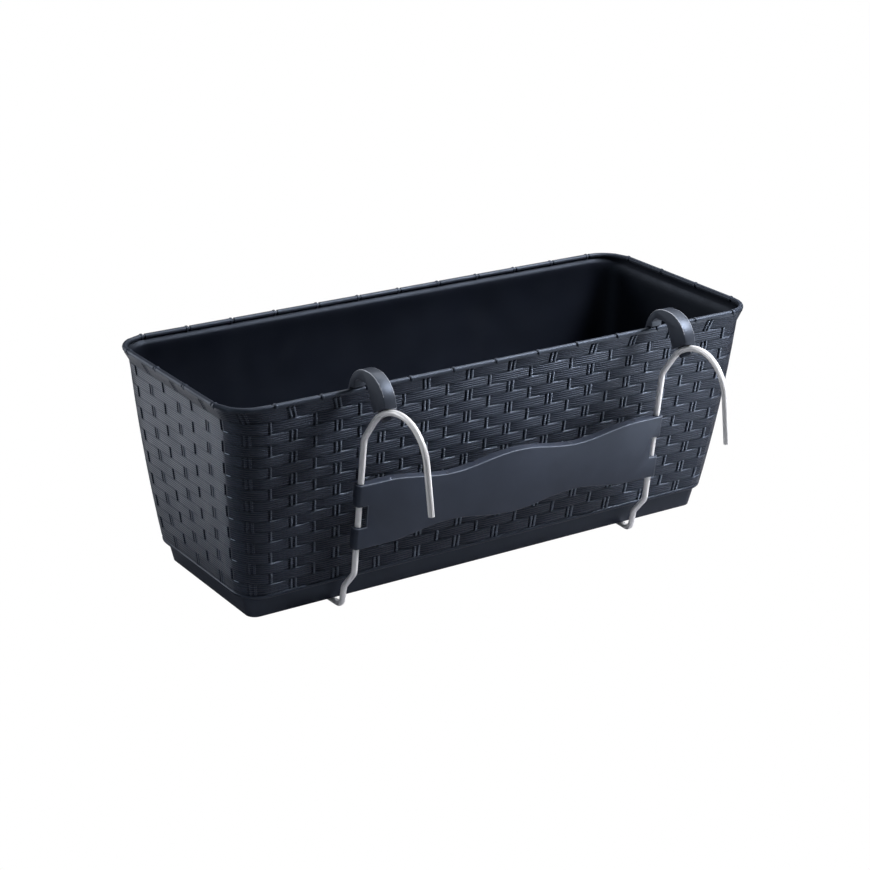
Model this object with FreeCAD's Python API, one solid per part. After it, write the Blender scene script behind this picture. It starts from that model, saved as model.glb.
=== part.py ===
import FreeCAD, Part
import math
import os

from FreeCAD import Vector

# Balcony planter box: a tapered plastic box, its drip tray, and a wire hanger that hooks over a railing.
# Millimetres. X runs along the box, Y from the hanger's side to the back, and Z up from the floor.
# The origin is on the floor, under the middle of the box.

# Box
rim_length = 514.5
rim_width = 203.5
rim_height = 189.2
rim_corner_radius = 30.0
bead_diameter = 4.4
flare_height = 15.0
flare_tip_inset = 0.4
wall_thickness = 2.8
wall_base_inset = 22.6
side_top_inset = 6.2
front_top_inset = 2.5
wall_bow = 1.5
top_corner_radius = 28.0
base_corner_radius = 22.5
floor_thickness = 2.6
peg_height = 5.0
peg_diameter = 14.0
peg_count = 4
peg_edge = 34.0
drain_diameter = 8.0

# Wicker weave moulded on the wall: rows of bands, parted by single and double marks in turn
weave_row_count = 17
front_band_count = 11
side_band_count = 3
weave_relief = 1.6
weave_border = 3.6
weave_row_lift = 1.8
row_gap = 0.8
band_bow = 1.2
band_root = 0.3
single_mark_share = 0.095
double_mark_share = 0.18

# Drip tray
tray_height = 18.0
tray_gap = 1.6
tray_step = 5.7
tray_draft = 4.4
tray_wall = 2.2
tray_corner_radius = 8.5
tray_edge_radius = 1.2
plug_clearance = 1.0

# Hook wires, one bent rod on each side
wire_diameter = 5.0
hook_spread = 293.0
foot_length = 132.0
foot_standoff = 9.8
foot_gap = 0.3
jog_start = 15.5
jog_height = 16.5
leg_gap_base = 15.9
leg_gap_top = 14.08
throat_drop = 34.0
throat_lean = 37.4
arch_drop = 4.0
hook_span = 77.9
hook_drop = 67.6
hook_toe_out = 11.3
hook_turn = 2.2
foot_bend_radius = 8.0
jog_bend_radius = 10.0
throat_bend_radius = 14.0
arch_radius = 45.0
arch_flat = 0.5

# Rim clips
clip_width = 10.7
clip_rise = 19.8
clip_roof = 10.0
clip_roof_gap = 0.5
clip_lip_gap = 0.7
clip_lip_drop = 6.5
clip_lip_slant = 1.0
clip_lip_thickness = 2.0
clip_reach = 43.3
clip_leg_thickness = 24.0
clip_leg_lean = 4.0
clip_inner_round = 7.0
clip_arch_round = 25.0
clip_edge_round = 0.8
jaw_wall = 2.5
jaw_start_angle = 50.0
jaw_end_angle = 72.0
jaw_clearance = 0.15
jaw_relief = 0.6
jaw_opening_angle = 44.0

# Cross bar
bar_height = 57.0
bar_waist = 43.0
bar_end_land = 23.0
bar_rise = 52.4
bar_depth = 7.6
bar_panel = 2.5
bar_flange = 2.0
sleeve_wall = 2.0
sleeve_clearance = 0.25
sleeve_mouth = 3.8
sleeve_round = 3.6
window_height = 19.0
window_reach = 5.2
wave_point_count = 16

# Levels above the floor
tray_bottom = wire_diameter + foot_gap
tray_top = tray_bottom + tray_height
wall_base = tray_top + tray_gap
rim_top = tray_bottom + rim_height
bead_radius = bead_diameter / 2
bead_level = rim_top - bead_radius
flare_top = rim_top - bead_diameter
flare_foot = flare_top - flare_height
peg_foot = tray_bottom + tray_wall
floor_under = peg_foot + peg_height
floor_top = floor_under + floor_thickness

# How far each ring of the box lies inside the rim's edge
tray_top_inset = wall_base_inset + tray_step
tray_base_inset = tray_top_inset + tray_draft
plug_slope = tray_draft / tray_height
wire_radius = wire_diameter / 2
wire_x = hook_spread / 2


# The weave goes round the box in bands: those of each wall, and one at each corner.
weave_runs = (front_band_count, 1, side_band_count, 1) * 2
weave_stops = [sum(weave_runs[:i + 1]) for i in range(len(weave_runs))]
weave_length = weave_stops[-1]
weave_base = wall_base + weave_border


def wall_inset(z, top_inset):
    """How far the box's outside lies inside the rim's edge, at a level of the wall or the flare."""
    if z <= flare_foot:
        t = (z - wall_base) / (flare_foot - wall_base)
        return wall_base_inset + (top_inset - wall_base_inset) * t - wall_bow * 4 * t * (1 - t)
    s = min((z - flare_foot) / flare_height, 1.0)
    return top_inset - (top_inset - flare_tip_inset) * s ** 2


def front_inset(z):
    return wall_inset(z, front_top_inset)


def wall_ring(z, set_in=0.0):
    """The box's outside at a level, drawn in by an amount: insets along X and Y, corner radius and level."""
    if z <= flare_foot:
        t = (z - wall_base) / (flare_foot - wall_base)
        radius = base_corner_radius + (top_corner_radius - base_corner_radius) * t
    else:
        s = min((z - flare_foot) / flare_height, 1.0)
        radius = top_corner_radius + (rim_corner_radius - flare_tip_inset - top_corner_radius) * s ** 2
    side_inset = wall_inset(z, side_top_inset)
    return side_inset + set_in, front_inset(z) + set_in, radius - set_in, z


def tray_inset(z):
    """How far the tray's outside lies inside the rim's edge, at a level of the tray or just above it."""
    return tray_base_inset - plug_slope * (z - tray_bottom)


def tray_ring(z, set_in=0.0):
    """The tray's outside at a level, drawn in by an amount."""
    inset = tray_inset(z) + set_in
    return inset, inset, tray_corner_radius + tray_base_inset - inset, z


def rounded_outline(inset_x, inset_y, radius, z):
    """A level ring: the rim's rectangle drawn in by the insets, with round corners."""
    half_x = rim_length / 2 - inset_x
    half_y = rim_width / 2 - inset_y
    edges = []
    bend = radius * (1 - math.sqrt(0.5))
    corners = [(1, 1), (-1, 1), (-1, -1), (1, -1)]
    ends = []
    for sx, sy in corners:
        along_x = Vector(sx * (half_x - radius), sy * half_y, z)
        along_y = Vector(sx * half_x, sy * (half_y - radius), z)
        middle = Vector(sx * (half_x - bend), sy * (half_y - bend), z)
        first, last = (along_y, along_x) if sx * sy > 0 else (along_x, along_y)
        ends.append((first, middle, last))
    for i, (first, middle, last) in enumerate(ends):
        edges.append(Part.Arc(first, middle, last).toShape())
        edges.append(Part.LineSegment(last, ends[(i + 1) % 4][0]).toShape())
    return Part.Wire(edges)


def ring_solid(rings):
    """A solid through level rings, each given as insets, corner radius and level."""
    return Part.makeLoft([rounded_outline(*ring) for ring in rings], True, True)


def steps(low, high, count):
    return [low + (high - low) * i / count for i in range(count + 1)]


def row_level(row):
    """Level of the lower edge of a row of the weave; the rows in the middle lie a little high."""
    t = row / weave_row_count
    return weave_base + (flare_top - weave_base) * t + weave_row_lift * 4 * t * (1 - t)


def on_ring(place, ring, sink):
    """Point at a number of bands round a ring, from the front's left end, sunk into the wall."""
    inset_x, inset_y, radius, z = ring
    half_x = rim_length / 2 - inset_x - radius
    half_y = rim_width / 2 - inset_y - radius
    corners = [(-half_x, -half_y), (half_x, -half_y), (half_x, half_y), (-half_x, half_y)]
    along = place % weave_length
    run = 0
    while along > weave_runs[run]:
        along -= weave_runs[run]
        run += 1
    share = along / weave_runs[run]
    x, y = corners[(run + 1) // 2 % 4]
    end_x, end_y = corners[(run // 2 + 1) % 4]
    turn = math.radians(90 * (run // 2) - 90 + 90 * share * (run % 2))
    x += (end_x - x) * share + (radius - sink) * math.cos(turn)
    y += (end_y - y) * share + (radius - sink) * math.sin(turn)
    return Vector(x, y, z)


def band_outline(first, last, z):
    """One band of the weave at a level: a bowed front between two places, and a bowed root in the wall."""
    ring = wall_ring(z)
    stops = [first] + [s for s in weave_stops if first < s < last] + [last]
    front, root = [], []
    for edges, sink, bow in ((front, 0.0, band_bow), (root, weave_relief + band_root, band_root)):
        for low, high in zip(stops, stops[1:]):
            spots = []
            for place in (low, (low + high) / 2, high):
                from_middle = (2 * place - first - last) / (last - first)
                spots.append(on_ring(place, ring, sink + bow * from_middle ** 2))
            edges.append(Part.Arc(*spots).toShape())
    ends = []
    for place in (last, first):
        outer = on_ring(place, ring, band_bow)
        inner = on_ring(place, ring, weave_relief + 2 * band_root)
        ends.append(Part.LineSegment(outer, inner).toShape())
    return Part.Wire(front + [ends[0]] + root[::-1] + [ends[1]])


def weave_bands():
    """The bands that stand out of the wall, each row half a band on from the row below."""
    bands = []
    for row in range(weave_row_count):
        low = row_level(row) + row_gap / 2
        high = row_level(row + 1) - row_gap / 2
        levels = steps(low, high, 2 if high > flare_foot else 1)
        mark, offset = (single_mark_share, 0.0) if row % 2 else (double_mark_share, 0.5)
        for n in range(weave_length):
            first = n + offset + mark / 2
            last = first + 1 - mark
            bands.append(Part.makeLoft([band_outline(first, last, z) for z in levels], True, True))
    return bands


def bent_line(points, radii, closed=False):
    """Straight runs in the YZ plane joined by tangent arcs; a radius stands for each point."""
    count = len(points)
    runs = []
    for i in range(count):
        here = Vector(0, *points[i])
        if not closed and i in (0, count - 1):
            runs.append((here, None, here))
            continue
        before = (Vector(0, *points[i - 1]) - here).normalize()
        after = (Vector(0, *points[(i + 1) % count]) - here).normalize()
        half_angle = before.getAngle(after) / 2
        reach = radii[i] / math.tan(half_angle)
        inward = (before + after).normalize()
        middle = here + inward * (radii[i] / math.sin(half_angle) - radii[i])
        runs.append((here + before * reach, middle, here + after * reach))
    edges = []
    for i, (first, middle, last) in enumerate(runs):
        if middle is not None:
            edges.append(Part.Arc(first, middle, last).toShape())
        if closed or i < count - 1:
            edges.append(Part.LineSegment(last, runs[(i + 1) % count][0]).toShape())
    return Part.Wire(edges)


def rod(path, radius):
    """A round rod along a path, cut square at both ends."""
    start = path.OrderedVertexes[0].Point
    first_edge = path.OrderedEdges[0]
    direction = first_edge.tangentAt(first_edge.FirstParameter)
    section = Part.Wire([Part.makeCircle(radius, start, direction)])
    return path.makePipeShell([section], True, False)


def slab(outline, x_low, x_high):
    """An outline in the YZ plane, given a thickness along X."""
    solid = Part.Face(outline).extrude(Vector(x_high - x_low, 0, 0))
    solid.translate(Vector(x_low, 0, 0))
    return solid


def planter_box():
    wall_levels = [row_level(row) for row in range(weave_row_count + 1)]
    wall_levels.append(bead_level)
    border = [wall_ring(z) for z in (wall_base, weave_base - weave_relief)]
    outside = ring_solid(border + [wall_ring(z, weave_relief) for z in wall_levels])
    ledge_top = wall_base + wall_thickness
    hollow = [wall_ring(z, wall_thickness) for z in [ledge_top] + wall_levels]
    hollow.append(hollow[-1][:3] + (rim_top + bead_diameter,))

    # The plug below the wall stands inside the tray, on short pegs.
    plug_set = tray_wall + plug_clearance
    plug = [tray_ring(z, plug_set) for z in (floor_under, wall_base)]
    well = [tray_ring(z, plug_set + wall_thickness) for z in (floor_top, ledge_top)]
    box = outside.fuse(ring_solid(plug))
    box = box.cut(ring_solid(hollow)).cut(ring_solid(well))

    bead_path = rounded_outline(bead_radius, bead_radius, rim_corner_radius - bead_radius, bead_level)
    bead_start = bead_path.OrderedVertexes[0].Point
    bead_edge = bead_path.OrderedEdges[0]
    bead_tangent = bead_edge.tangentAt(bead_edge.FirstParameter)
    bead_section = Part.Wire([Part.makeCircle(bead_radius, bead_start, bead_tangent)])
    bead = bead_path.makePipeShell([bead_section], True, False)
    box = box.fuse(bead)

    peg_x = rim_length / 2 - plug[0][0] - peg_edge
    peg_y = rim_width / 2 - plug[0][0] - peg_edge
    columns = steps(-peg_x, peg_x, peg_count - 1)
    middle_of_floor = floor_top - floor_thickness / 2
    for x in columns:
        for y in (-peg_y, peg_y):
            peg = Part.makeCylinder(peg_diameter / 2, middle_of_floor - peg_foot, Vector(x, y, peg_foot))
            box = box.fuse(peg)
    for left, right in zip(columns, columns[1:]):
        for y in (-peg_y, peg_y):
            drain = Part.makeCylinder(drain_diameter / 2, 3 * floor_thickness,
                                      Vector((left + right) / 2, y, floor_under - floor_thickness))
            box = box.cut(drain)
    return box.removeSplitter().fuse(weave_bands())


def drip_tray():
    outside = ring_solid([tray_ring(z) for z in (tray_bottom, tray_top)])
    low_edges = [e for e in outside.Edges if max(v.Z for v in e.Vertexes) < tray_bottom + tray_edge_radius]
    outside = outside.makeFillet(tray_edge_radius, low_edges)
    pan_levels = (tray_bottom + tray_wall, tray_top + tray_wall)
    pan = ring_solid([tray_ring(z, tray_wall) for z in pan_levels])
    return outside.cut(pan)


# The hook wire's centre line, seen along X: foot, jog past the tray, leg up the wall, arch and outer leg.
foot_level = wire_radius
tray_front = rim_width / 2 - tray_base_inset
foot_bend_y = -(tray_front + foot_standoff)
jog_level = tray_bottom + jog_start
jog_y = -(rim_width / 2 - tray_inset(jog_level) + foot_standoff)
leg_base_level = jog_level + jog_height
leg_base_y = -(rim_width / 2 - front_inset(leg_base_level) + leg_gap_base)
arch_level = rim_top - arch_drop
throat_level = arch_level - throat_drop
throat_y = -(rim_width / 2 - front_inset(throat_level) + leg_gap_top)
arch_in_y = throat_y - throat_drop * math.tan(math.radians(throat_lean))
hook_y = throat_y - hook_span
arch_turn = math.radians(90 - throat_lean)
arch_end_y = arch_in_y - arch_radius * math.tan(arch_turn / 2)
hook_fold = math.radians(90) - math.atan2(hook_toe_out, hook_drop)
hook_radius = (arch_end_y - arch_flat - hook_y) / math.tan(hook_fold / 2)
wire_points = [
    (foot_bend_y + foot_length, foot_level),
    (foot_bend_y, foot_level),
    (jog_y, jog_level),
    (leg_base_y, leg_base_level),
    (throat_y, throat_level),
    (arch_in_y, arch_level),
    (hook_y, arch_level),
    (hook_y - hook_toe_out, arch_level - hook_drop),
]
wire_radii = [0, foot_bend_radius, jog_bend_radius, jog_bend_radius, throat_bend_radius,
              arch_radius, hook_radius, 0]
wire_path = bent_line(wire_points, wire_radii)
leg_lean = math.atan2(leg_base_y - throat_y, throat_level - leg_base_level)

# The arch over the railing is round about this point.
arch_centre = Vector(0, arch_end_y, arch_level - arch_radius)


def on_arch(angle, radius):
    """A point at an angle above the level, round the arch's centre."""
    a = math.radians(angle)
    return (arch_centre.y + radius * math.cos(a), arch_centre.z + radius * math.sin(a))


def beside(shape, side):
    """Sets a shape of the hook's plane on its side of the box, turned in a little about the leg."""
    leg_base = Vector(0, leg_base_y, leg_base_level)
    leg_way = Vector(0, -math.sin(leg_lean), math.cos(leg_lean))
    shape.rotate(leg_base, leg_way, -side * hook_turn)
    shape.translate(Vector(side * wire_x, 0, 0))
    return shape


def hook_wire(side):
    return beside(rod(wire_path, wire_radius), side)


def rim_clip(side):
    """A hook over the rim: a lip behind the bead, a roof, and a thick leg with a jaw round the wire."""
    rim_y = -rim_width / 2
    bead_inside = rim_y + bead_diameter
    lip_y = bead_inside + clip_lip_gap
    lip_back = lip_y + clip_lip_slant + clip_lip_thickness
    lip_low = rim_top - clip_lip_drop
    roof_low = rim_top + clip_roof_gap
    roof_high = rim_top + clip_rise
    hollow_high = roof_high - clip_roof
    front_y = rim_y - clip_reach
    jaw_low = arch_radius - wire_radius - jaw_wall
    leg_tan = math.tan(math.radians(clip_leg_lean))
    jaw_front = on_arch(jaw_end_angle, jaw_low)
    jaw_back = on_arch(jaw_start_angle, jaw_low)
    leg_front_y = front_y - leg_tan * (roof_high - jaw_front[1])
    hollow_front_y = front_y + clip_leg_thickness
    hollow_back_y = rim_y - clip_roof_gap
    points = [
        (lip_back, lip_low),
        (lip_back, roof_high),
        (front_y, roof_high),
        (leg_front_y, jaw_front[1]),
        jaw_back,
        (hollow_front_y, hollow_high),
        (hollow_back_y, hollow_high),
        (hollow_back_y, roof_low),
        (lip_y, roof_low),
        (lip_y, bead_level - bead_radius),
        (lip_y + clip_lip_slant, lip_low),
    ]
    radii = [clip_edge_round, clip_arch_round, clip_arch_round, clip_edge_round, clip_edge_round,
             clip_inner_round, clip_inner_round, clip_edge_round, bead_radius, bead_radius, clip_edge_round]
    jaw_out = leg_base_y - on_arch((jaw_start_angle + jaw_end_angle) / 2, arch_radius)[0]
    clip_x = side * (wire_x - jaw_out * math.sin(math.radians(hook_turn)))
    clip = slab(bent_line(points, radii, closed=True), clip_x - clip_width / 2, clip_x + clip_width / 2)

    # The wire lies in a channel that is open towards -X, so the clip pushes on from the side.
    channel_radius = wire_radius + jaw_clearance
    clip = clip.cut(beside(rod(wire_path, channel_radius), side))
    arch_top = arch_radius + channel_radius + jaw_relief
    first = on_arch(jaw_start_angle - jaw_opening_angle / 2, arch_top)
    middle = on_arch((jaw_start_angle + jaw_end_angle) / 2, arch_top)
    last = on_arch(jaw_end_angle + jaw_opening_angle / 2, arch_top)
    span = [
        Part.Arc(Vector(0, *first), Vector(0, *middle), Vector(0, *last)).toShape(),
        Part.LineSegment(Vector(0, *last), arch_centre).toShape(),
        Part.LineSegment(arch_centre, Vector(0, *first)).toShape(),
    ]
    return clip.cut(slab(Part.Wire(span), clip_x - clip_width, clip_x))


def wave_half(x, wave):
    """Half the cross bar's height: two waists, a full height between them and at the ends."""
    swell = (1 + math.cos(2 * math.pi * x / wave)) / 2
    return bar_waist / 2 + (bar_height - bar_waist) / 2 * swell


def wavy_prism(half_length, trim, y_low, y_high):
    """A slab with the cross bar's wavy edges, drawn in by the trim, between two depths."""
    wave = wire_x - bar_end_land
    xs = steps(-wave, wave, wave_point_count)
    top = [Vector(x, y_low, wave_half(x, wave) - trim) for x in xs]
    low = [Vector(p.x, p.y, -p.z) for p in reversed(top)]
    edges = []
    for row, side in ((top, 1), (low, -1)):
        level = row[0].z
        curve = Part.BSplineCurve()
        curve.interpolate(row)
        first = Vector(-side * half_length, y_low, level)
        last = Vector(side * half_length, y_low, level)
        edges.append(Part.LineSegment(first, row[0]).toShape())
        edges.append(curve.toShape())
        edges.append(Part.LineSegment(row[-1], last).toShape())
        edges.append(Part.LineSegment(last, Vector(last.x, y_low, -level)).toShape())
    return Part.Face(Part.Wire(edges)).extrude(Vector(0, y_high - y_low, 0))


def cross_bar():
    """A wavy panel with turned edges; each end snaps over a wire with two sleeves and a window between."""
    bore_radius = wire_radius + sleeve_clearance
    shell = bore_radius + sleeve_wall
    end_x = wire_x + shell
    front = -shell
    back = front + bar_depth
    bar = wavy_prism(end_x, 0, front, back)
    corners = []
    for edge in bar.Edges:
        if all(abs(abs(v.X) - end_x) < 0.01 and abs(v.Y - front) < 0.01 for v in edge.Vertexes):
            corners.append(edge)
    bar = bar.makeFillet(sleeve_round, corners)
    bar = bar.cut(wavy_prism(wire_x - shell, bar_flange, front + bar_panel, back + bar_flange))
    for side in (-1, 1):
        x = side * wire_x
        bar = bar.cut(Part.makeCylinder(bore_radius, 2 * bar_height, Vector(x, 0, -bar_height)))
        mouth = Part.makeBox(sleeve_mouth, bar_depth, 2 * bar_height,
                             Vector(x - sleeve_mouth / 2, 0, -bar_height))
        bar = bar.cut(mouth)
        low_x = min(x - side * window_reach, side * (end_x + shell))
        window = Part.makeBox(window_reach + 2 * shell, 2 * bar_depth, window_height,
                              Vector(low_x, front - shell, -window_height / 2))
        bar = bar.cut(window)
    bar.rotate(Vector(0, 0, 0), Vector(1, 0, 0), math.degrees(leg_lean))
    up_leg = Vector(0, -math.sin(leg_lean), math.cos(leg_lean))
    bar.translate(Vector(0, leg_base_y, leg_base_level) + up_leg * bar_rise)
    return bar


pieces = {
    "planter_box": planter_box(),
    "drip_tray": drip_tray(),
    "hook_wire_left": hook_wire(-1),
    "hook_wire_right": hook_wire(1),
    "rim_clip_left": rim_clip(-1),
    "rim_clip_right": rim_clip(1),
    "cross_bar": cross_bar(),
}

os.makedirs("parts", exist_ok=True)
for name, shape in pieces.items():
    shape.exportStep(os.path.join("parts", name + ".step"))
    box = shape.BoundBox
    print(name, "solids", len(shape.Solids), "valid", shape.isValid(), "volume", round(shape.Volume, 1),
          "box", [round(v, 2) for v in (box.XMin, box.XMax, box.YMin, box.YMax, box.ZMin, box.ZMax)])
print("wire volume over section times length",
      pieces["hook_wire_left"].Volume / (math.pi * wire_radius ** 2 * wire_path.Length))
print("swing axis y z", -(rim_width / 2 - bead_radius), bead_level)
print("leg lean", math.degrees(leg_lean), "leg base y z", leg_base_y, leg_base_level)
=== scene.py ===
import math

import bmesh
import bpy
from mathutils import Matrix, Vector


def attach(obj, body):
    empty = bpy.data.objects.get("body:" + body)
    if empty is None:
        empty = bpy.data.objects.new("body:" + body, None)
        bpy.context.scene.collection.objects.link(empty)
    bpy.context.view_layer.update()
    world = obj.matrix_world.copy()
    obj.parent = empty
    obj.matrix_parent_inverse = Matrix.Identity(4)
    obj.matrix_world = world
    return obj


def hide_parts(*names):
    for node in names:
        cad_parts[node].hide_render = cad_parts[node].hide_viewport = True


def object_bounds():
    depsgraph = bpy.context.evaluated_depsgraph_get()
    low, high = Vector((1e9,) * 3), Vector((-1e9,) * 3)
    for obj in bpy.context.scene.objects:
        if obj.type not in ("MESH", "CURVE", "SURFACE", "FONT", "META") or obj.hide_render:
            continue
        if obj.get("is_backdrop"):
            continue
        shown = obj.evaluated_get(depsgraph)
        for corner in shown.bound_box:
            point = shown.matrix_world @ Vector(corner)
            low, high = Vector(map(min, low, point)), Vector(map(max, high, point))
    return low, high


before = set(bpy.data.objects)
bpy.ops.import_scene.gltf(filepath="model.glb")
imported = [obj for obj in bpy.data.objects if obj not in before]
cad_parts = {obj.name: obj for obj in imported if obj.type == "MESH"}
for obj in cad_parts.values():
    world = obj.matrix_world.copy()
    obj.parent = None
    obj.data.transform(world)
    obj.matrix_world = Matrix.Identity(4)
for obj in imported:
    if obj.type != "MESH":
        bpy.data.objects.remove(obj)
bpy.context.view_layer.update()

# Planter shell: the smooth inside of the box, its floor with drain holes, and the plug in the tray.
# It is moulded in one piece from dark plastic, and its outside lies just behind the weave.
# Pegs under the floor keep it above the tray's floor. Sizes are in millimetres, as in the construction.
rim_half_x, rim_half_y = 257.25, 101.75
rim_corner = 30.0
tray_bottom = 5.3
tray_height = 18.0
tray_thickness = 2.2
tray_inset, tray_corner, tray_draft = 32.7, 8.5, 4.4
tray_gap = 1.6
wall_base = tray_bottom + tray_height + tray_gap
wall_thickness, wall_bow = 2.8, 1.5
base_inset, base_corner = 22.6, 22.5
rim_height = 189.2
rim_top = tray_bottom + rim_height
bead_radius = 2.2
bead_level = rim_top - bead_radius
flare_height = 15.0
flare_top = rim_top - 2 * bead_radius
flare_foot = flare_top - flare_height
flare_inset_x, flare_inset_y, flare_corner = 6.2, 2.5, 28.0
tip_inset = 0.4
# Weave pitches along the front, a corner, the right end and so on round the box.
pitches = (11, 1, 3, 1, 11, 1, 3, 1)
pitches_round = sum(pitches)


def blend(start, end, share):
    """Value at a share of the way from start to end."""
    return start + (end - start) * share


def wall(z):
    """Insets from the rim's edge along X and Y, and corner radius, of the box's outside at a level."""
    if z <= flare_foot:
        t = (z - wall_base) / (flare_foot - wall_base)
        bow = wall_bow * 4 * t * (1 - t)
        inset_x = blend(base_inset, flare_inset_x, t) - bow
        inset_y = blend(base_inset, flare_inset_y, t) - bow
        return inset_x, inset_y, blend(base_corner, flare_corner, t)
    t = min((z - flare_foot) / flare_height, 1.0) ** 2
    inset_x = blend(flare_inset_x, tip_inset, t)
    inset_y = blend(flare_inset_y, tip_inset, t)
    return inset_x, inset_y, blend(flare_corner, rim_corner - tip_inset, t)


def tray_wall(z):
    """The same for the tray's outside."""
    inset = tray_inset - tray_draft * (z - tray_bottom) / tray_height
    return inset, inset, tray_corner + tray_inset - inset


def round_the_box(s, ring, z, out):
    """Point at s weave pitches round the box from the front left, and at out along the surface's normal."""
    inset_x, inset_y, corner = ring
    a = rim_half_x - inset_x - corner
    b = rim_half_y - inset_y - corner
    runs = (
        ((-a, -b), (a, -b), -90), ((a, -b), (a, -b), -90), ((a, -b), (a, b), 0), ((a, b), (a, b), 0),
        ((a, b), (-a, b), 90), ((-a, b), (-a, b), 90), ((-a, b), (-a, -b), 180), ((-a, -b), (-a, -b), 180),
    )
    s %= pitches_round
    for count, (start, end, angle) in zip(pitches, runs):
        if s <= count:
            break
        s -= count
    t = s / count
    turn = math.radians(angle + (90 * t if count == 1 else 0))
    x = blend(start[0], end[0], t) + (corner + out) * math.cos(turn)
    y = blend(start[1], end[1], t) + (corner + out) * math.sin(turn)
    return Vector((x, y, z)) / 1000


def pitch_length(s, ring):
    """Length of one weave pitch at s pitches round the box, in millimetres."""
    inset_x, inset_y, corner = ring
    s %= pitches_round
    for count, half in zip(pitches, (rim_half_x - inset_x, 0, rim_half_y - inset_y, 0) * 2):
        if s < count:
            break
        s -= count
    return 2 * (half - corner) / count if half else corner * math.pi / 2


def skin(bm, loops):
    """Faces between neighbours in a list of closed loops that have as many points each."""
    for lower, upper in zip(loops, loops[1:]):
        for i in range(len(lower)):
            j = (i + 1) % len(lower)
            bm.faces.new((lower[i], lower[j], upper[j], upper[i]))


def made_piece(bm, name, crease):
    """Piece with the bmesh's shape, smooth except at edges sharper than the crease angle."""
    mesh = bpy.data.meshes.new(name)
    bm.to_mesh(mesh)
    bm.free()
    mesh.shade_smooth()
    mesh.set_sharp_from_angle(angle=math.radians(crease))
    piece = bpy.data.objects.new(name, mesh)
    bpy.context.scene.collection.objects.link(piece)
    return piece


corner_parts, circle_parts = 8, 24
same_level = 1e-7
ring_stops = []
passed = 0
for count in pitches:
    if count == 1:
        ring_stops += [passed + i / corner_parts for i in range(corner_parts + 1)]
    passed += count

peg_height, peg_sunk, peg_radius = 5.0, 0.4, 7.0
peg_spacing, peg_row = 126.07, 33.61
drain_radius = 4.0
floor_thickness = 2.6
floor_under = tray_bottom + tray_thickness + peg_height
floor_top = floor_under + floor_thickness
step_top = wall_base + wall_thickness
plug_outside, plug_inside = 3.2, 6.0
inside_depth, behind_weave = 2.9, 2.3
behind_weave_foot = wall_base + 2.0
bead_tuck = 2.4
# Height above the flare's foot and wall thickness: a soft cove under the bead.
cove = ((4.0, 3.2), (8.0, 3.6), (10.5, 3.85), (11.5, 3.8), (12.5, 3.4), (13.5, 3.0), (15.0, 2.4))
wall_steps, flare_steps = 8, 6
rings = []
for z in (floor_top, step_top):
    rings.append((tray_wall(z), z, -plug_inside))
for i in range(wall_steps + 1):
    z = blend(step_top, flare_foot, i / wall_steps)
    rings.append((wall(z), z, -inside_depth))
for up, thickness in cove:
    z = flare_foot + up
    rings.append((wall(z), z, -thickness))
rings.append((wall(flare_top), bead_level, -bead_tuck))
rings.append((wall(flare_top), bead_level, -behind_weave))
for i in range(flare_steps + 1):
    z = blend(flare_top, flare_foot, i / flare_steps)
    rings.append((wall(z), z, -behind_weave))
for i in range(1, wall_steps + 1):
    z = blend(flare_foot, behind_weave_foot, i / wall_steps)
    rings.append((wall(z), z, -behind_weave))
rings.append((wall(wall_base), wall_base, -plug_outside))
for z in (wall_base, floor_under):
    rings.append((tray_wall(z), z, -plug_outside))

bm = bmesh.new()
loops = []
for ring, z, out in rings:
    loops.append([bm.verts.new(round_the_box(s, ring, z, out)) for s in ring_stops])
skin(bm, loops)
for x in (-peg_spacing, 0.0, peg_spacing):
    for y in (-peg_row, peg_row):
        circles = []
        for z in (floor_top, floor_under):
            spot = Matrix.Translation(Vector((x, y, z)) / 1000)
            circle = bmesh.ops.create_circle(
                bm, cap_ends=False, radius=drain_radius / 1000, segments=circle_parts, matrix=spot)
            circles.append(circle["verts"])
        skin(bm, circles)
for loop in (loops[0], loops[-1]):
    level = loop[0].co.z
    edges = []
    for edge in bm.edges:
        if edge.is_boundary and all(abs(v.co.z - level) < same_level for v in edge.verts):
            edges.append(edge)
    bmesh.ops.triangle_fill(bm, use_beauty=True, edges=edges)
peg_middle = floor_under + (peg_sunk - peg_height) / 2
for place in (-1.5, -0.5, 0.5, 1.5):
    for y in (-peg_row, peg_row):
        spot = Matrix.Translation(Vector((place * peg_spacing, y, peg_middle)) / 1000)
        bmesh.ops.create_cone(
            bm, cap_ends=True, segments=circle_parts, radius1=peg_radius / 1000, radius2=peg_radius / 1000,
            depth=(peg_height + peg_sunk) / 1000, matrix=spot)
bmesh.ops.remove_doubles(bm, verts=bm.verts, dist=1e-6)
bmesh.ops.recalc_face_normals(bm, faces=bm.faces)
shell = made_piece(bm, "planter_shell", crease=35)

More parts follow.
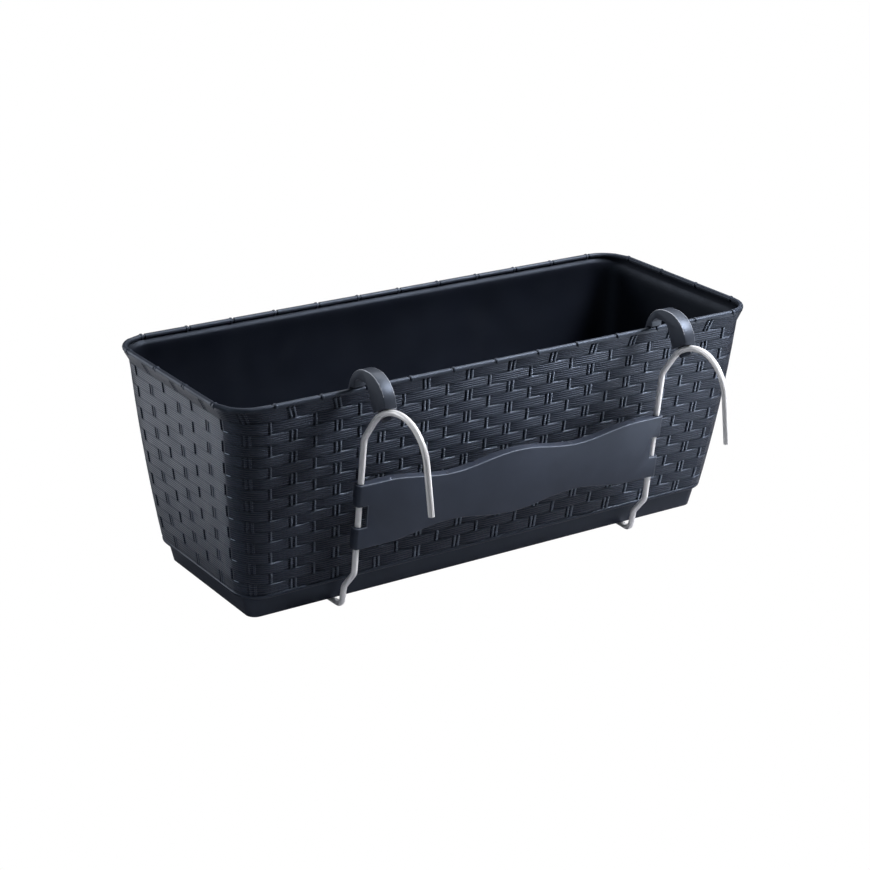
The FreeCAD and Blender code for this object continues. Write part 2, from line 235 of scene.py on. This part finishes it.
# Surface of a moulding: slow changes of tone and polish, and fine grain as a height.
moulded = bpy.data.node_groups.new("moulded_surface", "ShaderNodeTree")
surface_place = moulded.nodes.new("ShaderNodeTexCoord")
surface_out = moulded.nodes.new("NodeGroupOutput")
for socket, scale, detail, least, most in (
    ("Tone", 28.0, 3.0, 0.86, 1.14),
    ("Polish", 45.0, 4.0, -0.05, 0.05),
    ("Grain", 1400.0, 2.0, 0.0, 1.0),
):
    moulded.interface.new_socket(socket, in_out="OUTPUT", socket_type="NodeSocketFloat")
    noise = moulded.nodes.new("ShaderNodeTexNoise")
    noise.inputs["Scale"].default_value = scale
    noise.inputs["Detail"].default_value = detail
    scaled = moulded.nodes.new("ShaderNodeMapRange")
    scaled.inputs["From Min"].default_value = 0.3
    scaled.inputs["From Max"].default_value = 0.7
    scaled.inputs["To Min"].default_value = least
    scaled.inputs["To Max"].default_value = most
    moulded.links.new(surface_place.outputs["Object"], noise.inputs["Vector"])
    moulded.links.new(noise.outputs["Fac"], scaled.inputs["Value"])
    moulded.links.new(scaled.outputs["Result"], surface_out.inputs[socket])


def moulded_plastic(name, tone, roughness, grain_strength, specular=0.58):
    """Dark plastic with a bluish sheen and the surface of a moulding."""
    mat = bpy.data.materials.new(name)
    mat.use_nodes = True
    nt = mat.node_tree
    bsdf = nt.nodes["Principled BSDF"]
    bsdf.inputs["Specular Tint"].default_value = (0.66, 0.79, 1.0, 1)
    bsdf.inputs["Specular IOR Level"].default_value = specular
    surface = nt.nodes.new("ShaderNodeGroup")
    surface.node_tree = moulded
    colour = nt.nodes.new("ShaderNodeMix")
    colour.data_type = "RGBA"
    colour.blend_type = "MULTIPLY"
    colour.inputs["Factor"].default_value = 1.0
    colour.inputs["A"].default_value = tone
    gloss = nt.nodes.new("ShaderNodeMath")
    gloss.operation = "ADD"
    gloss.inputs[1].default_value = roughness
    grain = nt.nodes.new("ShaderNodeBump")
    grain.name = "grain"
    grain.inputs["Strength"].default_value = grain_strength
    grain.inputs["Distance"].default_value = 0.0002
    nt.links.new(surface.outputs["Tone"], colour.inputs["B"])
    nt.links.new(surface.outputs["Polish"], gloss.inputs[0])
    nt.links.new(surface.outputs["Grain"], grain.inputs["Height"])
    nt.links.new(colour.outputs["Result"], bsdf.inputs["Base Color"])
    nt.links.new(gloss.outputs["Value"], bsdf.inputs["Roughness"])
    nt.links.new(grain.outputs["Normal"], bsdf.inputs["Normal"])
    return mat


# Its tone is darker than the woven plastic of the same wall: painted shade inside the box.
shaded_inside_plastic = moulded_plastic(
    "planter_inside", tone=(0.0034, 0.0046, 0.0092, 1), roughness=0.5, grain_strength=0.12, specular=0.36)
shell.data.materials.append(shaded_inside_plastic)
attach(shell, "box")
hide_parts("planter_box")

# Planter weave: the outside of the wall, moulded to look like flat bands woven round upright stakes.
# Where two bands of a row meet is a mark: a groove with one thin stake, or two in every other row.
# Each band bows out between its ends, which bares the top edge of the band below beside a stake.
# Stakes, band ends and bared top edges get a lighter tone: a painted highlight, weaker on the end walls and
# where marks are soft.
row_count = 17
top_row = row_count - 1
hem_height = 3.6
weave_base = wall_base + hem_height
row_lift = 1.8
foot_fade, rim_fade = 0.05, 0.12
# Pitches round the box, then how far the weave strays at the foot, the middle and the rim, in millimetres.
column_knots = (
    (0, 2.5, 3.2, 3.3), (2.5, 1.9, 1.4, 1.1), (5, 1.9, 1.3, 0.8), (11, 2.1, 0.9, 0.1), (12, 0.0, 0.0, 0.0),
    (28, 5.6, 6.9, 8.6), (31, 6.4, 7.1, 8.3), (32, 2.5, 3.2, 3.3),
)
row_knots = (
    (0, -0.7, -1.9, -2.2), (3, 0.3, -0.9, -0.9), (4.5, 1.3, -0.6, 1.3), (9, 1.3, -0.7, 0.8),
    (11, -0.9, -1.5, -1.5), (12, 0.0, 0.0, 0.0), (28, 1.5, 0.7, 0.8), (31, 2.3, 0.9, 0.7),
    (32, -0.7, -1.9, -2.2),
)
single_stake, stake_pair = (-1.1,), (-2.5, 1.4)
# Side from a stake's middle and depth behind the bands: a flat face with softened edges.
stake_section = ((-0.8, 0.3), (-0.5, 0.0), (0.5, 0.0), (0.8, 0.3))
stake_foot, stake_clear = 0.95, 1.0
end_wall_widen_single, end_wall_widen_pair = 0.15, 0.3
end_wall_pair_shift = 0.3
end_wall_sink = 0.1
end_wall_groove, long_wall_groove, corner_fill = 1.9, 2.1, 0.9
band_clearance = 2.55
end_wall_cut_single, end_wall_cut_pair = -0.6, 0.5
band_lip, band_lip_dip = 0.4, 0.35
band_end_dip = 0.4
band_start_dip, end_wall_start_dip = 1.5, 0.1
deepest = 2.15
softest, crisper_per_pitch = 0.3, 0.2
soft_groove, softens_past = 0.4, 0.4
# Painted highlight on stakes, more on the long walls, and along each band towards its end.
stake_highlight, stake_highlight_long_wall = 0.055, 0.33
band_end_highlight, band_highlight_power = 0.05, 1.5
full_bare, least_bare = 0.12, 0.25
band_shares = (0.2, 0.5, 0.75)
band_margin = 0.005
step_aside = 0.01
# Reach from the stake above and painted highlight on the bared edge there; the corner's table is for the
# band at the front left corner, painted brighter.
ledge = ((-0.9, 0.0), (-0.4, 0.18), (7.0, 0.14), (12.5, 0.0))
corner_ledge = ((-0.4, 0.0), (0.0, 1.0), (3.5, 0.9), (5.0, 0.0))
corner_ledge_at = pitches_round - 1
# Share of a row's height and depth behind the face, then how far a bared edge drops and rounds back there.
band_section = (
    (0.0, 2.1, 0.0, 0.0), (0.022, 0.65, 0.0, 0.0), (0.042, 0.16, 0.0, 0.0), (0.08, 0.0, 0.0, 0.0),
    (0.13, 0.0, 0.0, 0.0), (0.92, 0.0, 0.0, 0.0), (0.975, 0.0, 0.03, 0.0), (0.988, 0.02, 0.018, 0.07),
    (0.996, 0.06, 0.004, 0.3), (1.0, 2.1, 0.0, 0.0),
)
edge_starts, bead_starts = 0.98, 0.93
bead_cover, bead_overlap = 0.6, 0.25
end_wall_gap = 0.15
# Height above the wall's base and depth: the plain hem below the first row.
hem_section = ((0.0, 2.2), (0.0, 1.2), (0.3, 0.4), (0.9, 0.0), (2.8, 0.0), (3.3, 0.4), (hem_height, 2.1))


def row_level(row):
    """Level of the lower edge of a row; the rows in the middle lie a little high."""
    t = row / row_count
    return blend(weave_base, flare_top, t) + row_lift * 4 * t * (1 - t)


def row_ring(row):
    """Insets and corner radius of the wall in the middle of a row."""
    return wall((row_level(row) + row_level(row + 1)) / 2)


def strayed(knots, s, t):
    """Value at s pitches round the box, and at a share t of the wall's height, between knots."""
    s %= pitches_round
    for (s0, *first), (s1, *last) in zip(knots, knots[1:]):
        if s <= s1:
            foot, middle, rim = (blend(a, b, (s - s0) / (s1 - s0)) for a, b in zip(first, last))
            return blend(foot, middle, 2 * t) if t < 0.5 else blend(middle, rim, 2 * t - 1)


def column_stray(s, z):
    """How far the weave's columns stray along the wall from even places, in millimetres."""
    return strayed(column_knots, s, (z - wall_base) / (flare_top - wall_base))


def row_stray(s, z):
    """How far the rows stray up or down the wall, in millimetres; none at the foot and under the bead."""
    t = (z - weave_base) / (flare_top - weave_base)
    return strayed(row_knots, s, t) * max(0.0, min(1.0, t / foot_fade, (1 - t) / rim_fade))


def on_long_wall(s):
    """1 on the long walls, 0 on the end walls, and between them round the corners."""
    past = s % (pitches_round / 2) - pitches[0]
    return 1.0 if past <= 0 else max(0.0, 1 - past, past - 1 - pitches[2])


def crispness(s):
    """How crisp a mark is: soft on the left end wall and beside the front left corner."""
    left_end_starts = pitches_round - pitches[6] - pitches[7]
    return min(1.0, softest + crisper_per_pitch * s) if s < left_end_starts else softest


def stakes_in(row):
    """Places of a mark's stakes from its middle: one or two, row by row."""
    return single_stake if row % 2 else stake_pair


def groove_depth(s):
    """Depth of a mark's groove: less at the corners, and on a long wall where marks are soft."""
    share = on_long_wall(s)
    depth = blend(end_wall_groove, long_wall_groove, share) - corner_fill * (1 - abs(2 * share - 1))
    return depth * blend(soft_groove, 1.0, crispness(s)) if share > softens_past else depth


def mark_place(row, mark, level):
    """Place of a mark's middle round the box, where a row strays at a level."""
    return mark + column_stray(mark, level) / pitch_length(mark, row_ring(row))


def band_end(row, mark):
    """Reach from a mark's middle to the end of the band on its left."""
    cut = end_wall_cut_single if row % 2 else end_wall_cut_pair
    return stakes_in(row)[0] - band_clearance + cut * (1 - on_long_wall(mark))


def mark_columns(row, mark):
    """Columns across a mark: place round the box, depth, painted highlight on face and edge, and how bare
    the edge is.
    """
    stakes, end, groove = stakes_in(row), band_end(row, mark), groove_depth(mark)
    on_end = 1 - on_long_wall(mark)
    widen = (end_wall_widen_single if row % 2 else end_wall_widen_pair) * on_end
    dip = band_end_dip * (1 - on_end)
    # Painted highlight on the band end and the stakes, weaker where marks are soft.
    end_highlight = band_end_highlight * (1 - on_end) * crispness(mark)
    highlight = stake_highlight + stake_highlight_long_wall * max(0.0, 1 - 2 * on_end) * crispness(mark)
    profile = [(end - band_lip, dip, end_highlight, 0.0), (end - band_lip / 2, dip + band_lip_dip, end_highlight, 0.0)]
    profile.append((end, groove, 0.0, 0.0))
    for middle in stakes:
        left_of_pair = middle == stake_pair[0]
        if left_of_pair:
            middle += end_wall_pair_shift * on_end
        profile.append((middle - stake_foot - widen, groove, 0.0, 0.0))
        for side, depth in stake_section:
            side += math.copysign(widen, side)
            profile.append((middle + side, depth + end_wall_sink * on_end, highlight, highlight))
        if left_of_pair:
            profile.append((middle + stake_foot + widen, groove, 0.0, 0.0))
    start_dip = blend(band_start_dip, end_wall_start_dip, on_end)
    profile.append((stakes[-1] + stake_clear + widen, start_dip, 0.0, 0.0))
    place = mark_place(row, mark, row_level(row))
    before, after = pitch_length(mark - 0.25, row_ring(row)), pitch_length(mark + 0.25, row_ring(row))
    return [
        (place + reach / (before if reach < 0 else after), depth, face_highlight, edge_highlight, 0.0)
        for reach, depth, face_highlight, edge_highlight in profile
    ]


def band_columns(row, mark, first):
    """Columns along the band from a mark, where it starts at first, to the next mark; the same values."""
    ring = row_ring(row)
    last = mark_place(row, mark + 1, row_level(row))
    last += (band_end(row, mark + 1) - band_lip) / pitch_length(mark + 0.75, ring)
    over = mark + 0.5
    at_corner = over == corner_ledge_at
    strength = 1.0 if at_corner else max(least_bare, on_long_wall(over))
    if row == top_row:
        strength = 0.0
    bared = []
    for reach, highlight in corner_ledge if at_corner else ledge:
        place = mark_place(row, over, row_level(row + 1))
        place += (stakes_in(row + 1)[-1] + reach) / pitch_length(over + step_aside * reach, ring)
        bared.append((min(place, last - band_margin), highlight * strength))
    stops = list(bared)
    for share in band_shares:
        place, highlight = blend(first, last, share), 0.0
        for (near, near_highlight), (far, far_highlight) in zip(bared, bared[1:]):
            if near < place < far:
                highlight = blend(near_highlight, far_highlight, (place - near) / (far - near))
        stops.append((place, highlight))
    start_dip = blend(end_wall_start_dip, band_start_dip, on_long_wall(mark))
    end_dip = band_end_dip * on_long_wall(mark + 1)
    # Painted highlight along the band, growing towards its end.
    end_highlight = band_end_highlight * on_long_wall(mark + 1) * crispness(mark)
    columns = []
    for place, highlight in sorted(stops):
        share = (place - first) / (last - first)
        off_middle = 2 * share - 1
        depth = start_dip * -off_middle ** 3 if off_middle < 0 else end_dip * off_middle ** 2
        face_highlight = end_highlight * share ** band_highlight_power
        columns.append((place, depth, face_highlight, highlight, min(1.0, highlight / full_bare)))
    return columns


bm = bmesh.new()
weave_uv = bm.loops.layers.uv.new("weave")
# Each point carries the strength of its painted highlight.
painted_highlight = bm.verts.layers.float.new("painted_highlight")
for row in range(row_count):
    low, high = row_level(row), row_level(row + 1)
    columns = []
    for n in range(pitches_round):
        mark = n + (0.0 if row % 2 else 0.5)
        columns += mark_columns(row, mark)
        columns += band_columns(row, mark, columns[-1][0])
    lines = []
    for s, dip, face_highlight, edge_highlight, bare in columns:
        gap = blend(end_wall_gap, 1.0, on_long_wall(s))
        line = []
        for v, back, edge_drop, edge_back in band_section:
            z = blend(low, high, v - edge_drop * bare)
            z += row_stray(s, z)
            back += edge_back * bare
            # Painted highlight at each point: the edge's near a band's top, the face's elsewhere, none under
            # the bead.
            highlight = edge_highlight if v > edge_starts else face_highlight
            if row == top_row and v > bead_starts:
                back, highlight = 0.0, 0.0
            if row == top_row and v == 1.0:
                z, back = bead_level - bead_cover, -bead_overlap
            vert = bm.verts.new(round_the_box(s, wall(z), z, -min(dip + back * gap, deepest)))
            vert[painted_highlight] = highlight
            line.append(vert)
        lines.append((s, line))
    lines.append((lines[0][0] + pitches_round, lines[0][1]))
    for (s0, left), (s1, right) in zip(lines, lines[1:]):
        for k in range(len(band_section) - 1):
            face = bm.faces.new((left[k], right[k], right[k + 1], left[k + 1]))
            v0, v1 = row + band_section[k][0], row + band_section[k + 1][0]
            for corner, spot in zip(face.loops, ((s0, v0), (s1, v0), (s1, v1), (s0, v1))):
                corner[weave_uv].uv = spot
hems = []
for up, back in hem_section:
    z = wall_base + up
    hems.append([bm.verts.new(round_the_box(s, wall(z), z, -back)) for s in ring_stops])
skin(bm, hems)
bmesh.ops.recalc_face_normals(bm, faces=bm.faces)
weave = made_piece(bm, "planter_weave", crease=50)


def paint_highlights(mat, highlight_tone):
    """Mix a lighter tone into a plastic where its mesh is marked: a painted highlight."""
    nt = mat.node_tree
    base_colour = nt.nodes["Principled BSDF"].inputs["Base Color"]
    highlight_mask = nt.nodes.new("ShaderNodeAttribute")
    highlight_mask.attribute_name = "painted_highlight"
    highlighted = nt.nodes.new("ShaderNodeMix")
    highlighted.data_type = "RGBA"
    highlighted.inputs["B"].default_value = highlight_tone
    nt.links.new(highlight_mask.outputs["Fac"], highlighted.inputs["Factor"])
    nt.links.new(base_colour.links[0].from_socket, highlighted.inputs["A"])
    nt.links.new(highlighted.outputs["Result"], base_colour)


reeds_per_row = 5
woven_plastic = moulded_plastic(
    "woven_plastic", tone=(0.0120, 0.0152, 0.0250, 1), roughness=0.38, grain_strength=0.15)
# Stakes, band ends and bared edges get the lighter tone: a painted highlight.
paint_highlights(woven_plastic, highlight_tone=(0.45, 0.53, 0.66, 1))
nt = woven_plastic.node_tree
weave_place = nt.nodes.new("ShaderNodeUVMap")
weave_place.uv_map = "weave"
weave_axes = nt.nodes.new("ShaderNodeSeparateXYZ")
reed_turns = nt.nodes.new("ShaderNodeMath")
reed_turns.operation = "MULTIPLY"
reed_turns.inputs[1].default_value = reeds_per_row * 2 * math.pi
reeds = nt.nodes.new("ShaderNodeMath")
reeds.operation = "SINE"
reed_bump = nt.nodes.new("ShaderNodeBump")
reed_bump.inputs["Strength"].default_value = 1.0
reed_bump.inputs["Distance"].default_value = 0.00023
nt.links.new(weave_place.outputs["UV"], weave_axes.inputs["Vector"])
nt.links.new(weave_axes.outputs["Y"], reed_turns.inputs[0])
nt.links.new(reed_turns.outputs["Value"], reeds.inputs[0])
nt.links.new(reeds.outputs["Value"], reed_bump.inputs["Height"])
nt.links.new(reed_bump.outputs["Normal"], nt.nodes["grain"].inputs["Normal"])
weave.data.materials.append(woven_plastic)
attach(weave, "box")
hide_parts("planter_box")

# Rim bead: the rolled plastic edge round the mouth of the box, moulded with the wall.
# A short tie wraps over it once in each weave pitch, beside a narrow notch.
bead_ring = (bead_radius, bead_radius, rim_corner - bead_radius)
# Reach along the bead from a tie's place, and the bead's radius there.
tie = ((-2.7, 2.2), (-2.4, 1.4), (-0.8, 1.4), (-0.4, 2.5), (0.3, 2.75), (1.3, 2.65), (1.7, 2.2))
# How far past each pitch of the front, and of the corner after it, a tie sits, in millimetres.
# The others sit at an even share of their pitch.
front_ties = (9.2, 8.4, 7.2, 6.0, 4.9, 4.2, 4.0, 2.2, 2.1, 2.3, 2.6, 3.0)
other_ties = 0.05
plain_shares = (0.4, 0.5, 0.6, 0.7, 0.82)
hoop_points = 16
bead_stops = []
for n in range(pitches_round):
    tie_place = n + other_ties
    if n < len(front_ties):
        tie_place = n + front_ties[n] / pitch_length(n + step_aside, bead_ring)
    length = pitch_length(tie_place, bead_ring)
    bead_stops += [(tie_place + reach / length, radius) for reach, radius in tie]
    bead_stops += [(n + share, bead_radius) for share in plain_shares]
bm = bmesh.new()
hoops = []
for s, radius in bead_stops:
    hoop = []
    for k in range(hoop_points):
        turn = 2 * math.pi * k / hoop_points
        level = bead_level + radius * math.sin(turn)
        hoop.append(bm.verts.new(round_the_box(s, bead_ring, level, radius * math.cos(turn))))
    hoops.append(hoop)
skin(bm, hoops + hoops[:1])
bmesh.ops.recalc_face_normals(bm, faces=bm.faces)
bead = made_piece(bm, "rim_bead", crease=40)
# Its tone is lighter than the woven plastic it is moulded with: a painted highlight along the rim.
bead_plastic_painted_light = moulded_plastic(
    "bead_plastic_painted_light", tone=(0.023, 0.028, 0.040, 1), roughness=0.52, grain_strength=0.12)
bead.data.materials.append(bead_plastic_painted_light)
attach(bead, "box")
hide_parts("planter_box")

# Drip tray: a smooth shallow pan of the same plastic, set in a little under the box.
# It is moulded, so its edges are softened, and the box's plug stands loose in it.


def soften(bm, merge, sharp_angle, radius, segments, clamp):
    """Round the sharp edges of a mesh copied from the construction; gives the faces of the roundings."""
    bmesh.ops.remove_doubles(bm, verts=bm.verts, dist=merge)
    bmesh.ops.dissolve_limit(bm, angle_limit=math.radians(0.2), verts=bm.verts, edges=bm.edges)
    sharp = [e for e in bm.edges if e.is_manifold and e.calc_face_angle() > math.radians(sharp_angle)]
    rounded = bmesh.ops.bevel(
        bm, geom=sharp, offset=radius, offset_type="OFFSET", segments=segments, profile=0.5,
        affect="EDGES", clamp_overlap=clamp, material=-1)
    bmesh.ops.recalc_face_normals(bm, faces=bm.faces)
    return rounded["faces"]


bm = bmesh.new()
bm.from_mesh(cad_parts["drip_tray"].data)
soften(bm, merge=1e-6, sharp_angle=28, radius=0.0006, segments=3, clamp=True)
tray = made_piece(bm, "tray", crease=40)
tray_plastic = moulded_plastic(
    "tray_plastic", tone=(0.0135, 0.017, 0.027, 1), roughness=0.40, grain_strength=0.12)
tray.data.materials.append(tray_plastic)
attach(tray, "box")
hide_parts("drip_tray")

# Hook wires: bright zinc-coated steel rod, bent cold, with bare cut ends.
# Each foot passes under the tray, the leg stands before the wall and the arch hooks over a railing.
# The zinc has a faint mottle and fine drawing marks.
zinc = bpy.data.materials.new("zinc_wire")
zinc.use_nodes = True
nt = zinc.node_tree
bsdf = nt.nodes["Principled BSDF"]
bsdf.inputs["Metallic"].default_value = 0.15
zinc_place = nt.nodes.new("ShaderNodeTexCoord")
mottle = nt.nodes.new("ShaderNodeTexNoise")
mottle.inputs["Scale"].default_value = 220.0
mottle.inputs["Detail"].default_value = 4.0
zinc_tone = nt.nodes.new("ShaderNodeMix")
zinc_tone.data_type = "RGBA"
zinc_tone.inputs["A"].default_value = (0.88, 0.88, 0.89, 1)
zinc_tone.inputs["B"].default_value = (0.98, 0.98, 0.98, 1)
zinc_gloss = nt.nodes.new("ShaderNodeMapRange")
zinc_gloss.inputs["To Min"].default_value = 0.25
zinc_gloss.inputs["To Max"].default_value = 0.35
drawing_marks = nt.nodes.new("ShaderNodeTexNoise")
drawing_marks.inputs["Scale"].default_value = 900.0
drawing_marks.inputs["Detail"].default_value = 2.0
zinc_grain = nt.nodes.new("ShaderNodeBump")
zinc_grain.inputs["Strength"].default_value = 0.06
zinc_grain.inputs["Distance"].default_value = 0.0002
nt.links.new(zinc_place.outputs["Object"], mottle.inputs["Vector"])
nt.links.new(zinc_place.outputs["Object"], drawing_marks.inputs["Vector"])
nt.links.new(mottle.outputs["Fac"], zinc_tone.inputs["Factor"])
nt.links.new(mottle.outputs["Fac"], zinc_gloss.inputs["Value"])
nt.links.new(drawing_marks.outputs["Fac"], zinc_grain.inputs["Height"])
nt.links.new(zinc_tone.outputs["Result"], bsdf.inputs["Base Color"])
nt.links.new(zinc_gloss.outputs["Result"], bsdf.inputs["Roughness"])
nt.links.new(zinc_grain.outputs["Normal"], bsdf.inputs["Normal"])
for name in ("hook_wire_left", "hook_wire_right"):
    bm = bmesh.new()
    bm.from_mesh(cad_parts[name].data)
    soften(bm, merge=1e-6, sharp_angle=60, radius=0.0004, segments=2, clamp=True)
    wire = made_piece(bm, name + "_rod", crease=50)
    wire.data.materials.append(zinc)
    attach(wire, "hanger")
    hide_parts(name)

# Rim clips: thick smooth plastic hooks that sit over the rim and grip the wire in a jaw.
# Both are the same moulding, with softened edges. Rounded outside edges that face up or right are painted
# lighter as a highlight.
clip_plastic = moulded_plastic(
    "clip_plastic", tone=(0.032, 0.037, 0.048, 1), roughness=0.45, grain_strength=0.1)
paint_highlights(clip_plastic, highlight_tone=(0.36, 0.38, 0.42, 1))
faces_up, faces_right = 0.45, 0.3
for name in ("rim_clip_left", "rim_clip_right"):
    bm = bmesh.new()
    bm.from_mesh(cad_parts[name].data)
    clip_highlight = bm.faces.layers.float.new("painted_highlight")
    rounded = soften(bm, merge=1.5e-4, sharp_angle=40, radius=0.0007, segments=3, clamp=False)
    middle = sum((v.co for v in bm.verts), Vector()) / len(bm.verts)
    # Rounded outside faces turned up or right are marked for the painted highlight.
    for face in rounded:
        outside = (face.calc_center_median() - middle).yz.dot(face.normal.yz) > 0
        if outside and (face.normal.z > faces_up or face.normal.x > faces_right):
            face[clip_highlight] = 1.0
    clip = made_piece(bm, name + "_hook", crease=40)
    clip.data.materials.append(clip_plastic)
    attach(clip, "hanger")
    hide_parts(name)

# Cross bar: a smooth wavy plastic bar that snaps on to both wires and leans on the railing.
# It is one satin moulding; its turned edges are softened and painted a little lighter as a highlight.
bm = bmesh.new()
bm.from_mesh(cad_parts["cross_bar"].data)
bar_highlight = bm.faces.layers.float.new("painted_highlight")
# Every rounded face is marked for the painted highlight.
for face in soften(bm, merge=5e-4, sharp_angle=40, radius=0.0007, segments=3, clamp=False):
    face[bar_highlight] = 1.0
bar = made_piece(bm, "wavy_bar", crease=40)
bar_plastic = moulded_plastic(
    "bar_plastic", tone=(0.022, 0.0265, 0.040, 1), roughness=0.5, grain_strength=0.1)
paint_highlights(bar_plastic, highlight_tone=(0.075, 0.085, 0.105, 1))
bar.data.materials.append(bar_plastic)
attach(bar, "bar")
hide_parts("cross_bar")

# Floor: a plain sheet that is white to the camera and mid grey to the object.
# The object stands on it on the two wires.
floor_drop = 0.0002
mesh = bpy.data.meshes.new("floor")
bm = bmesh.new()
bmesh.ops.create_grid(bm, x_segments=1, y_segments=1, size=6.0)
bm.to_mesh(mesh)
bm.free()
floor = bpy.data.objects.new("floor", mesh)
floor.location = (0, 0, -floor_drop)
bpy.context.scene.collection.objects.link(floor)
studio_floor = bpy.data.materials.new("studio_floor")
studio_floor.use_nodes = True
nt = studio_floor.node_tree
bsdf = nt.nodes["Principled BSDF"]
bsdf.inputs["Base Color"].default_value = (0.30, 0.30, 0.31, 1)
bsdf.inputs["Roughness"].default_value = 0.9
bsdf.inputs["Specular IOR Level"].default_value = 0.0
white = nt.nodes.new("ShaderNodeEmission")
white.inputs["Color"].default_value = (1, 1, 1, 1)
white.inputs["Strength"].default_value = 1.0
rays = nt.nodes.new("ShaderNodeLightPath")
pick = nt.nodes.new("ShaderNodeMixShader")
nt.links.new(rays.outputs["Is Camera Ray"], pick.inputs["Fac"])
nt.links.new(bsdf.outputs["BSDF"], pick.inputs[1])
nt.links.new(white.outputs["Emission"], pick.inputs[2])
nt.links.new(pick.outputs["Shader"], nt.nodes["Material Output"].inputs["Surface"])
mesh.materials.append(studio_floor)
floor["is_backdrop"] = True

# Surround: white to the camera, nearly black to everything else.
world = bpy.data.worlds.new("studio")
bpy.context.scene.world = world
world.use_nodes = True
nt = world.node_tree
rays = nt.nodes.new("ShaderNodeLightPath")
seen = nt.nodes.new("ShaderNodeMix")
seen.data_type = "RGBA"
seen.inputs["A"].default_value = (0.003, 0.004, 0.007, 1)
seen.inputs["B"].default_value = (1, 1, 1, 1)
nt.links.new(rays.outputs["Is Camera Ray"], seen.inputs["Factor"])
nt.links.new(seen.outputs["Result"], nt.nodes["Background"].inputs["Color"])

# Lights: a key with a narrow beam high on the right, soft panels on the left, behind and above,
# two low ones that face up and give the walls a sheen, and a weak fill from the front left.
# Each has its place, what it aims at, its size in metres, its beam in degrees, its power and its tint.
for name, spot, aim, size, beam, power, tint in (
    ("key_panel", (0.75, -0.52, 1.0), (0.13, -0.1, 0.12), (0.6, 0.6), 38, 2.6, (1.0, 1.0, 1.04)),
    ("left_panel", (-1.35, -0.1, 0.55), (-0.25, 0.0, 0.1), (0.7, 0.7), 180, 2.0, (0.86, 0.93, 1.0)),
    ("back_panel", (-1.0, 0.9, 0.5), (-0.2, 0.0, 0.1), (0.7, 0.7), 180, 8.3, (1.0, 1.0, 1.02)),
    ("low_left_panel", (-0.55, 0.34, 0.004), (-0.55, 0.34, 1.0), (0.45, 0.55), 180, 0.7, (1.0, 1.0, 1.0)),
    ("low_right_panel", (0.5, -0.42, 0.004), (0.5, -0.42, 1.0), (0.5, 0.4), 180, 2.2, (0.95, 0.98, 1.0)),
    ("fill_panel", (-0.9, -1.5, 0.9), (0.0, -0.1, 0.15), (0.8, 0.8), 180, 0.6, (1.0, 1.0, 1.0)),
    ("top_panel", (0.65, 0.35, 1.4), (0.05, 0.08, 0.19), (1.2, 0.8), 180, 12.0, (1.0, 1.0, 1.0)),
):
    lamp = bpy.data.lights.new(name, "AREA")
    lamp.shape = "RECTANGLE"
    lamp.size, lamp.size_y = size
    lamp.spread = math.radians(beam)
    lamp.energy = power
    lamp.color = tint
    panel = bpy.data.objects.new(name, lamp)
    panel.location = spot
    panel.rotation_euler = (Vector(aim) - Vector(spot)).to_track_quat("-Z", "Y").to_euler()
    bpy.context.scene.collection.objects.link(panel)

# Camera: a long lens from the front left, a little above the rim.
# Its place is in metres and its focal length in pixels of a square picture.
camera_place = Vector((-0.963514, -1.427791, 0.756506))
azimuth, elevation, roll = math.radians(-33.83), math.radians(21.059), math.radians(0.942)
picture_size, focal_length = 870, 2168.328
sensor_width = 36.0
back = Vector((
    math.sin(azimuth) * math.cos(elevation), -math.cos(azimuth) * math.cos(elevation), math.sin(elevation)))
level_right = (-back).cross(Vector((0, 0, 1))).normalized()
level_up = level_right.cross(-back)
right = level_right * math.cos(roll) + level_up * math.sin(roll)
up = level_up * math.cos(roll) - level_right * math.sin(roll)
lens = bpy.data.cameras.new("camera")
lens.sensor_width = sensor_width
lens.lens = focal_length / picture_size * sensor_width
camera = bpy.data.objects.new("camera", lens)
camera.matrix_world = Matrix.Translation(camera_place) @ Matrix((right, up, back)).transposed().to_4x4()
bpy.context.scene.collection.objects.link(camera)
bpy.context.scene.camera = camera
bpy.context.scene.view_settings.view_transform = "Standard"

low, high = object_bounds()
